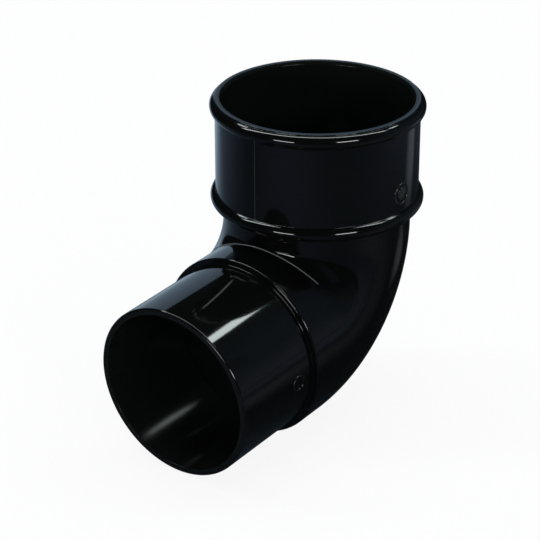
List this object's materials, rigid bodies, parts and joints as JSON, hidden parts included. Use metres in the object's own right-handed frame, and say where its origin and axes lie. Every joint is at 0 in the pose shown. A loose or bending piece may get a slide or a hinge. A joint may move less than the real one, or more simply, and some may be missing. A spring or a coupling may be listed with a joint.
{
  "type": "downpipe bend",
  "caption": "Tight 92.5 degree bend for a round rainwater downpipe: a beaded push-fit socket at the top and a stepped-down plain spigot at the outlet, in one hollow gloss black moulding.",
  "frame": {"origin": "centre of the pipe stop at the bottom of the socket, on the socket's axis", "axes": "+Z out of the socket's mouth along the pipe above, +X towards the outlet, which falls 2.5 degrees below it, and +Y across the bend"},
  "size_m": [0.1234, 0.0772, 0.1155],
  "materials": {
    "gloss_black": "smooth glossy moulded black plastic"
  },
  "bodies": {
    "root": {"downpipe_bend": "gloss_black"}
  },
  "joints": []
}
